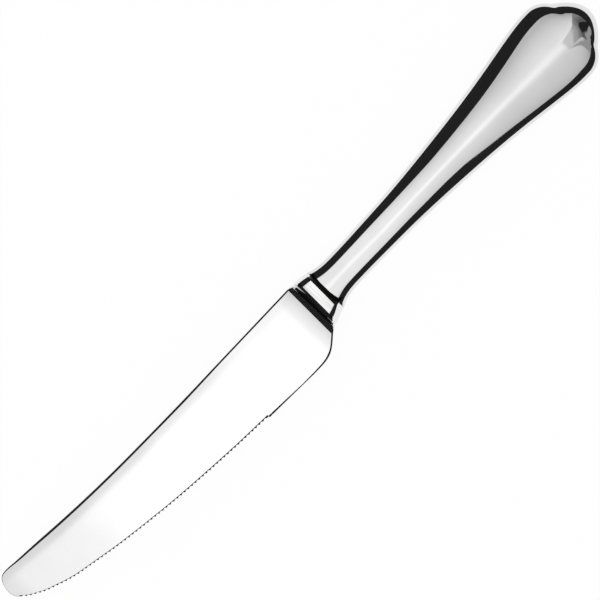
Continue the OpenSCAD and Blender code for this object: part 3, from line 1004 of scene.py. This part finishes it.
def blade_lines():
    """The plain rim from the bolster round to the first tooth, the toothed edge, and the plain heel."""
    spine, tip, belly, heel = blade_corners()
    ground = smooth_path(spine + tip + belly, OUTLINE_STEP)
    start = np.array(tip[FIRST_TOOTHED])
    cut = int(np.argmin(np.linalg.norm(ground - start, axis=1)))
    return ground[:cut + 1], ground[cut:], smooth_path(heel, OUTLINE_STEP)


def rim_profile(face, share):
    """How far in from the rim and how far up each ring lies, where the face has these half heights."""
    bevel = BEVEL_W * share
    fall = bevel * tan(BEVEL_TILT)
    radius = np.minimum(RIM_R * share, (face - fall) * ROUND_SHARE / cos(BEVEL_TILT))
    rings = [(0 * face, 0 * face)]
    for tilt in np.linspace(pi / 2, BEVEL_TILT, RIM_RINGS):
        rings.append((radius * (1 - sin(tilt)), face - fall - radius * (cos(BEVEL_TILT) - cos(tilt))))
    return rings + [(radius * (1 - sin(BEVEL_TILT)) + bevel, face)]


def plate_outline():
    """The blade's outline in plan, the way inwards at each point, and how wide the bevel is there."""
    rim, toothed, heel = blade_lines()
    strip = toothed + STRIP_W * side_normals(toothed)
    root = np.array([(ROOT_X, -FOOT_DROP + ROOT_X), (ROOT_X, SPINE_H - GROOVE_DEPTH)])
    outline = np.concatenate([rim, strip, heel, root])
    inward = np.concatenate([side_normals(rim), 0 * strip, side_normals(heel), 0 * root])
    share = np.concatenate([np.interp(rim[:, 0], *zip(*SPINE_BEVEL)), 0 * strip[:, 0],
                            np.interp(heel[:, 0], *zip(*HEEL_BEVEL)), 0 * root[:, 0]])
    return outline, inward, share


def plate_faces(n, deep):
    """The quads between the rings of n points, and the flat face inside the last ring, on each side."""
    faces = []
    for side in (1, -1):
        first = [0] + [(k if side > 0 else k + deep - 1) * n for k in range(1, deep)]
        for a, b in zip(first, first[1:]):
            faces += [(a + i, a + (i + 1) % n, b + (i + 1) % n, b + i)[::side] for i in range(n)]
        faces.append(tuple(range(first[-1], first[-1] + n))[::side])
    return faces


def blade_plate(steel):
    """The blade as a closed sheet of rings: a bevelled rim, and a flat face inside it on each side."""
    outline, inward, share = plate_outline()
    face = face_height(outline[:, 0], outline[:, 1])
    rings = []
    for reach, height in rim_profile(face, share):
        points = outline + inward * reach[:, None]
        fall = face - height
        rings.append((points, np.maximum(face_height(points[:, 0], points[:, 1]) - fall, 0)))
    rings[0] = (rings[0][0], 0 * rings[0][1])
    flat = np.concatenate([r[0] for r in rings + rings[1:]])
    tall = np.concatenate([r[1] for r in rings] + [-r[1] for r in rings[1:]])
    vertices = np.stack([np.maximum(flat[:, 0], TIP_X), flat[:, 1] + AXIS_Y, tall + MID_Z], 1) * MM
    faces = plate_faces(len(outline), len(rings))
    mesh = new_mesh("blade_plate", vertices.tolist(), faces=faces, material=steel)
    tidy_mesh(mesh)
    return mesh


def joined(name, meshes):
    pieces = [add_object(name, m) for m in meshes]
    with bpy.context.temp_override(active_object=pieces[0], selected_editable_objects=pieces,
                                   selected_objects=pieces, object=pieces[0]):
        bpy.ops.object.join()
    return pieces[0]


def blade(steel, sweep):
    piece = joined("blade_polished", [blade_plate(steel), bolster_mesh(steel, sweep)])
    dress(piece, "blade")


def toothed_edge(steel):
    toothed = blade_lines()[1][::-1]
    length = float(np.linalg.norm(np.diff(toothed, axis=0), axis=1).sum())
    line = new_mesh("toothed_line", [(x * MM, y * MM, 0) for x, y in toothed], chain(len(toothed)))
    mesh = grown(add_object("toothed_line", line), teeth_tree(), {
        "Points along": int(length / TOOTH_PITCH * POINTS_PER_TOOTH) + 3, "Points across": POINTS_ACROSS,
        "Length": length, "Pitch": TOOTH_PITCH, "Depth": TOOTH_DEPTH, "Land": TOOTH_LAND, "Facet": FACET_W,
        "Strip": STRIP_W, "Finish": steel})
    dress(add_object("toothed_edge", mesh), "blade")


def both_sides(x, rise, drop):
    """The line from the mouth along the spine side to the butt, and back along the edge side."""
    return np.concatenate([np.stack([x, rise], 1), np.stack([x, -drop], 1)[::-1][1:]])


def seam_line(braze):
    """The band of braze between the two shells, as a prism of the handle's outline."""
    values = handle_rail()
    x, inner_x = values["outer_x"][1:], values["inner_x"][1:]
    outside = both_sides(x, handle_rise(x), handle_drop(x))
    inside = both_sides(inner_x, under_sheet(handle_rise, inner_x), under_sheet(handle_drop, inner_x))
    n = len(outside)
    layers = [(line, z) for z in (-SEAM_H, SEAM_H) for line in (outside, inside)]
    vertices = [(px * MM, (py + AXIS_Y) * MM, (z + MID_Z) * MM) for line, z in layers for px, py in line]
    faces = []
    for i in range(n - 1):
        low_out, low_in, top_out, top_in = (k * n + i for k in range(4))
        faces += [(low_out, low_out + 1, low_in + 1, low_in), (top_out, top_in, top_in + 1, top_out + 1),
                  (low_out, top_out, top_out + 1, low_out + 1), (low_in, low_in + 1, top_in + 1, top_in)]
    faces += [(i, n + i, 3 * n + i, 2 * n + i) for i in (0, n - 1)]
    mesh = new_mesh("seam_line", vertices, faces=faces, material=braze)
    tidy_mesh(mesh)
    dress(add_object("seam_line", mesh), "seam_braze")


def finish_cad_node(node, material):
    for slot in frame["nodes"][node].material_slots:
        slot.material = material


# Studio

PHOTO_LEAN = radians(46.6)
PHOTO_SIZE = 600
PIXELS_PER_MM = 3.424
# The photograph's centre in the frame of the knife
CENTRE_X = 0.35
CENTRE_Y = 3.23
SENSOR = 36.0
LENS = 400.0
# In metres: half the width of the table and of the light panel, and the panel's height
TABLE_SIZE = 4
PANEL_SIZE = 0.9
PANEL_Z = 0.155
# Brightness of the dark walls and cards, and tones of the table
DARK = 0.018
TABLE_TONE = 0.96
TABLE_WHITE = 0.93
# How far the black cards stand from the handle and the blade, and the heights that they reach between
HANDLE_GAP = 12.0
HANDLE_CARD = (8.6, 17.6)
BLADE_GAP = 3.0
BLADE_CARD = (5.0, 7.8)
CARD_POINTS = 50
BEND_POINTS = 30
BLADE_POINT_STEP = 12

# The light panel, in millimetres of X and Y. A course is its first level, and then each smooth change as its
# start, its end and what it adds. A line is a place and its slope.
# Over the handle: a ridge of light that fades in along the neck, and a bright line beside it
RIDGE_Y = -8
MOST_LIGHT = 0.9
SPINE_LIGHT = 0.99
SPINE_FALL = 0.0041
LEAST_LIGHT = 0.59
EDGE_LIGHT = 0.822
EDGE_FALL = 0.0014
RIDGE_GLOW = 0.1
RIDGE_REACH = 480
FADE_IN = (15, 85)
FADE_HALF_W = 50
FADE_SPREAD = 0.25
BUTT_FADE_X = 105
BUTT_FADE = 0.0035
BRIGHT_LINE = (-10, (34, 17, 9))
BRIGHT_GLOW = 0.19
BRIGHT_REACH = 150
HANDLE_GAIN = 1.035
# Over the blade: plain light and a darker band, whose foot rises towards the tip
BLADE_SIDE = (3, -1)
BLADE_LIGHT = (1.33, (-78, -118, -0.21), (-124, -130, -0.15), (-7.6, -5.6, -0.2), (-5.6, -3.6, -0.1),
               (-3.8, -2.2, -0.18))
BAND_LIGHT = (0.885, (-106, -80, 0.09), (-78, -45, 0.06), (-45, -25, 0.17))
BAND_SHARE = 0.92
BAND_SOFT = (0.7, (-104, -86, 0.6))
BAND_FOOT = -3.85
BAND_RISES = ((-74, 0.05), (-106, 0.07))
# Over the butt: a darker card with a gleam across it
CARD_SIDE = (114.4, 115.5)
CARD_LEAN = 0.03
CARD_TOP = ((118, -1), 1.3)
CARD_TOP_BEHIND = ((139, 26), 0.97)
CARD_TOP_SOFT = 1.5
CARD_FOOT = ((116, -31), -1.8)
CARD_FOOT_SOFT = 2.5
CARD_LIGHT = (0.7, (119, 122, -0.28), (122, 134, -0.19), (134, 156, -0.11))
CARD_RISE = 0.0035
CARD_RISE_MOST = 0.14
LOW_CARD_LIGHT = 0.36
LOW_CARD = (-94, -102)
GLEAM_LINE = ((122.5, -36), -1.1)
GLEAM_SOFT = 2
GLEAM_EDGE = (4.5, 2)
GLEAM_SPREAD = (122, 0.02)
GLEAM_LIGHT = (0.64, (140, 158, -0.28))
# A dark spot beside the card, between a bowed side, a peaked top and a sloping foot
SPOT_PLACE = (137, -24)
SPOT_BOW = 0.0128
SPOT_PEAK = (153, -4)
SPOT_PEAK_SLOPE = 0.5
SPOT_FOOT = ((183, -84), -0.38)
SPOT_SOFT = 2
SPOT_FOOT_SOFT = 3
SPOT_DEPTH = 0.9
# The panel's outline
PANEL_TOP = (110, (8, -8, -35), (-20, -30, 95), (42, 54, -15), (60, 104, 24))
PANEL_FOOT = (-80, (-12, 4, -62), (42, 52, 19), (56, 66, -96), (75, 130, 36))
PANEL_CORNER = (240, 0.9)
PANEL_SOFT = 1
PANEL_START = -250
PANEL_END = 246
PANEL_END_SLOPE = 0.3
# The room beyond the panel: how far it is from the knife's middle, and how it darkens
ROOM_MIDDLE = (-20, 105)
ROOM_EDGE = (290, 310)
ROOM_LIGHT = 1.1
ROOM_FALL = 0.0006
ROOM_END = (-560, -520)


def camera():
    data = bpy.data.cameras.new("camera")
    data.lens = LENS
    data.sensor_width = SENSOR
    data.clip_start = 0.1
    data.clip_end = 20
    obj = add_object("camera", data)
    distance = PHOTO_SIZE / PIXELS_PER_MM * MM * LENS / SENSOR
    obj.location = (CENTRE_X * MM, (CENTRE_Y + AXIS_Y) * MM, MID_Z * MM + distance)
    obj.rotation_euler = (0, 0, -PHOTO_LEAN)
    bpy.context.scene.camera = obj


def stage_piece(name, vertices, faces, material):
    obj = add_object(name, new_mesh(name, vertices, faces=faces, material=material))
    return obj


def plane(name, size, z, material):
    corners = [(-size, -size, z), (size, -size, z), (size, size, z), (-size, size, z)]
    return stage_piece(name, corners, [(0, 1, 2, 3)], material)


def emission(graph, shade):
    return graph.add("ShaderNodeEmission", {"Color": shade, "Strength": 1.0})


def floor():
    """A white table that shows as white and keeps a faint shadow."""
    material, graph = new_material("white_table")
    seen = graph.tree.nodes.new("ShaderNodeLightPath")
    shown = Wire(seen.outputs["Is Camera Ray"]).max(Wire(seen.outputs["Is Glossy Ray"]))
    shown = shown.max(Wire(seen.outputs["Is Transmission Ray"]))
    matt = graph.add("ShaderNodeBsdfDiffuse", {"Color": grey(TABLE_TONE)})
    white = emission(graph, grey(1))
    end_with(graph, graph.add("ShaderNodeMixShader", {0: shown * TABLE_WHITE, 1: matt, 2: white}))
    plane("table", TABLE_SIZE, 0, material)


def world():
    """A white room: plain light for what is matt, and the dark walls of the studio for what is polished."""
    scene_world = bpy.data.worlds.new("studio")
    bpy.context.scene.world = scene_world
    scene_world.use_nodes = True
    scene_world.node_tree.nodes.clear()
    graph = Graph(scene_world.node_tree)
    glossy = graph.add("ShaderNodeLightPath", output="Is Glossy Ray")
    plain, dark = [graph.add("ShaderNodeBackground", {"Color": grey(1), "Strength": strength})
                   for strength in (1.0, DARK)]
    shown = graph.add("ShaderNodeMixShader", {0: glossy, 1: plain, 2: dark})
    end_with(graph, shown, "ShaderNodeOutputWorld")


def smooth_step(wire, start, end):
    """0 at the start and 1 at the end, with a smooth course between them."""
    t = ((wire - start) / (end - start)).max(0).min(1)
    return t * t * (3 - 2 * t)


def soft_edge(wire, soft):
    """1 where the wire is above 0 and 0 where it is below, with a soft edge between them."""
    return smooth_step(wire, -soft, soft)


def course(wire, level, *changes):
    """A level along the wire, with smooth changes to it."""
    for start, end, change in changes:
        level = smooth_step(wire, start, end) * change + level
    return level


def bell(wire, reach):
    """1 where the wire is 0, falling smoothly on both sides."""
    return (wire * wire / -reach).exponent()


def light_over_handle(x, y):
    above, below = past(y, RIDGE_Y), before(y, RIDGE_Y)
    spine_side = (SPINE_LIGHT - above * SPINE_FALL).max(LEAST_LIGHT)
    edge_side = EDGE_LIGHT - below * EDGE_FALL + bell(below, RIDGE_REACH) * RIDGE_GLOW
    across = (y > RIDGE_Y).pick(spine_side, edge_side).min(MOST_LIGHT)
    fade = smooth_step(x + (y.size() - FADE_HALF_W) * FADE_SPREAD, *FADE_IN)
    broad = (1 - (1 - across) * fade) * (1 - past(x, BUTT_FADE_X) * BUTT_FADE)
    return (broad + bell(y - course(x, *BRIGHT_LINE), BRIGHT_REACH) * BRIGHT_GLOW) * HANDLE_GAIN


def light_over_blade(x, y):
    """Plain light, with a darker band over the side of the spine."""
    plain = course(x, *BLADE_LIGHT)
    band = course(x, *BAND_LIGHT).min(plain * BAND_SHARE)
    foot = sum(before(x, place) * slope for place, slope in BAND_RISES) + BAND_FOOT
    return plain + (band - plain) * soft_edge((y - foot) / course(x, *BAND_SOFT), 1)


def with_card(light, x, y):
    """The light, with the card over the butt and the gleam across it."""
    top = line_at(x, *CARD_TOP).min(line_at(x, *CARD_TOP_BEHIND))
    card = soft_edge(top - y, CARD_TOP_SOFT) * soft_edge(y - line_at(x, *CARD_FOOT), CARD_FOOT_SOFT)
    inside = course(x, *CARD_LIGHT) + (y.max(0) * CARD_RISE).min(CARD_RISE_MOST)
    off_gleam = y - line_at(x, *GLEAM_LINE)
    low = soft_edge(-off_gleam, GLEAM_SOFT).max(smooth_step(y, *LOW_CARD))
    inside = inside + (LOW_CARD_LIGHT - inside) * low
    spread = past(x, GLEAM_SPREAD[0]) * GLEAM_SPREAD[1] + 1
    gleam = smooth_step(off_gleam.size() / spread, *GLEAM_EDGE) * course(x, *GLEAM_LIGHT)
    return light + (inside.max(gleam) - light) * card * smooth_step(x + y * CARD_LEAN, *CARD_SIDE)


def dark_spot(x, y):
    """How much of the light the spot takes away."""
    off = y - SPOT_PLACE[1]
    side = soft_edge(x - SPOT_PLACE[0] - off * off * SPOT_BOW, SPOT_SOFT)
    peak = SPOT_PEAK[1] - (x - SPOT_PEAK[0]).size() * SPOT_PEAK_SLOPE
    foot = line_at(x, *SPOT_FOOT)
    return side * soft_edge(peak - y, SPOT_SOFT) * soft_edge(y - foot, SPOT_FOOT_SOFT) * SPOT_DEPTH


def lit_area(x, y):
    """1 within the panel's outline and 0 outside it."""
    corner, slope = PANEL_CORNER
    foot = course(x, *PANEL_FOOT) - past(x, corner) * slope
    end = PANEL_END - (y + y.max(0)) * PANEL_END_SLOPE
    between = soft_edge(course(x, *PANEL_TOP) - y, PANEL_SOFT) * soft_edge(y - foot, PANEL_SOFT)
    return between * (x > PANEL_START) * (x < end)


def far_light(x, y):
    off = before(x, ROOM_MIDDLE[0]) + past(x, ROOM_MIDDLE[1])
    away = (off * off + y * y) ** 0.5
    return smooth_step(away, *ROOM_EDGE) * (ROOM_LIGHT - away * ROOM_FALL) * smooth_step(x, *ROOM_END)


def panel():
    """The soft light close above the knife, with the room's light round it."""
    material, graph = new_material("light_panel")
    x, y, _ = (value / MM for value in graph.parts(graph.place()))
    light = light_over_handle(x, y)
    light = light + (light_over_blade(x, y) - light) * smooth_step(x, *BLADE_SIDE)
    light = with_card(light, x, y) * (1 - dark_spot(x, y)) * lit_area(x, y)
    end_with(graph, emission(graph, light.max(far_light(x, y)).max(DARK)))
    only_reflected(plane("light_panel", PANEL_SIZE, PANEL_Z, material))


def only_reflected(obj):
    obj.visible_camera = False
    obj.visible_diffuse = False
    obj.visible_shadow = False


def flag(name, line, low, top):
    """A black card that stands along the line, from one height to the other."""
    vertices = [(x * MM, (y + AXIS_Y) * MM, z * MM) for z in (low, top) for x, y in line]
    n = len(line)
    material, graph = new_material(name)
    end_with(graph, emission(graph, grey(DARK)))
    faces = [(i, i + 1, n + i + 1, n + i) for i in range(n - 1)]
    only_reflected(stage_piece(name, vertices, faces, material))


def flags():
    """Low cards round the handle and the blade, which keep the far light of the room off their flanks."""
    along = np.linspace(0, BUTT_X - HANDLE_GAP, CARD_POINTS)
    turn = np.linspace(pi / 2, -pi / 2, BEND_POINTS)
    spine = np.stack([along, half_width(along) + HANDLE_GAP], 1)
    bend = np.stack([along[-1] + 2 * HANDLE_GAP * np.cos(turn), spine[-1, 1] * np.sin(turn)], 1)
    flag("handle_card", np.concatenate([spine, bend, (spine * (1, -1))[::-1]]), *HANDLE_CARD)
    edge = np.concatenate(blade_lines())[::BLADE_POINT_STEP]
    flag("blade_card", edge - BLADE_GAP * side_normals(edge), *BLADE_CARD)


def studio():
    bpy.context.scene.view_settings.view_transform = "Standard"
    camera()
    floor()
    world()
    panel()
    flags()


def knife():
    blade_steel = polished_steel("blade_steel", 0.8, 0.03, "X")
    handle_steel = polished_steel("handle_steel", 0.8, 0.02, "X")
    ferrule_steel = polished_steel("ferrule_steel", 0.86, 0.02, "Y", streak_tone=0.7)
    braze = silver_braze()
    sweep = sweep_tree()
    blade(blade_steel, sweep)
    toothed_edge(blade_steel)
    ferrule(ferrule_steel, sweep)
    handle_shells(handle_steel)
    seam_line(braze)
    for node, material in (("bolster_braze", braze), ("mouth_braze", braze), ("tang_cement", cast_cement())):
        finish_cad_node(node, material)


studio()
knife()
